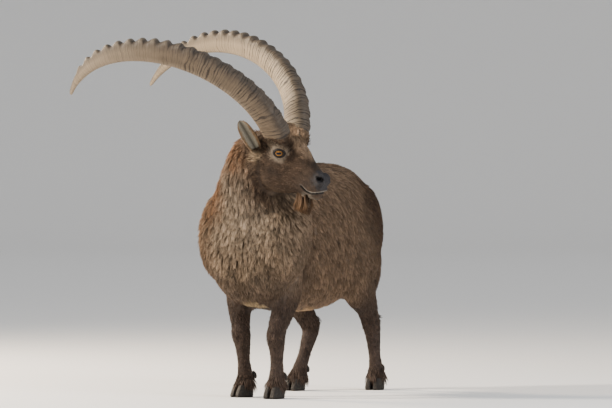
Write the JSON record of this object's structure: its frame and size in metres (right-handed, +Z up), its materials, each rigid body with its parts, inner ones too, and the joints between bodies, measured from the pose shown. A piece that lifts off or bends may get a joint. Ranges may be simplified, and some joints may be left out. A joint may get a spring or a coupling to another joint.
{
  "type": "alpine ibex, adult male",
  "caption": "Adult male alpine ibex standing still with its head turned to its left, long ridged horns swept back, life size",
  "frame": {"origin": "middle of the floor area under the whole model, at the level of the hoof soles", "axes": "+Z up, the animal faces -Y and its left side is towards +X"},
  "size_m": [0.9372, 1.3246, 1.3317],
  "materials": {
    "coat": "short dense brown hair, greyer on the neck",
    "leg_coat": "short dark brown hair",
    "ear_coat": "fine pale grey-brown hair",
    "horn": "dry ridged horn, beige-brown with dark growth rings",
    "hoof": "worn dark hoof horn",
    "eye": "moist amber eye with a dark level pupil"
  },
  "bodies": {
    "root": {"dewclaw_fore_left_left": "hoof", "dewclaw_fore_left_right": "hoof", "dewclaw_fore_right_left": "hoof", "dewclaw_fore_right_right": "hoof", "dewclaw_hind_left_left": "hoof", "dewclaw_hind_left_right": "hoof", "dewclaw_hind_right_left": "hoof", "dewclaw_hind_right_right": "hoof", "ear_left": "ear_coat", "ear_right": "ear_coat", "eye_left": "eye", "eye_right": "eye", "fore_leg_lower_left": "leg_coat", "fore_leg_lower_right": "leg_coat", "fore_leg_upper_left": "coat", "fore_leg_upper_right": "coat", "head": "coat", "hind_leg_lower_left": "leg_coat", "hind_leg_lower_right": "leg_coat", "hind_leg_upper_left": "coat", "hind_leg_upper_right": "coat", "hoof_fore_left_left_claw": "hoof", "hoof_fore_left_right_claw": "hoof", "hoof_fore_right_left_claw": "hoof", "hoof_fore_right_right_claw": "hoof", "hoof_hind_left_left_claw": "hoof", "hoof_hind_left_right_claw": "hoof", "hoof_hind_right_left_claw": "hoof", "hoof_hind_right_right_claw": "hoof", "horn_left": "horn", "horn_right": "horn", "neck": "coat", "tail": "coat", "torso": "coat"}
  },
  "joints": []
}
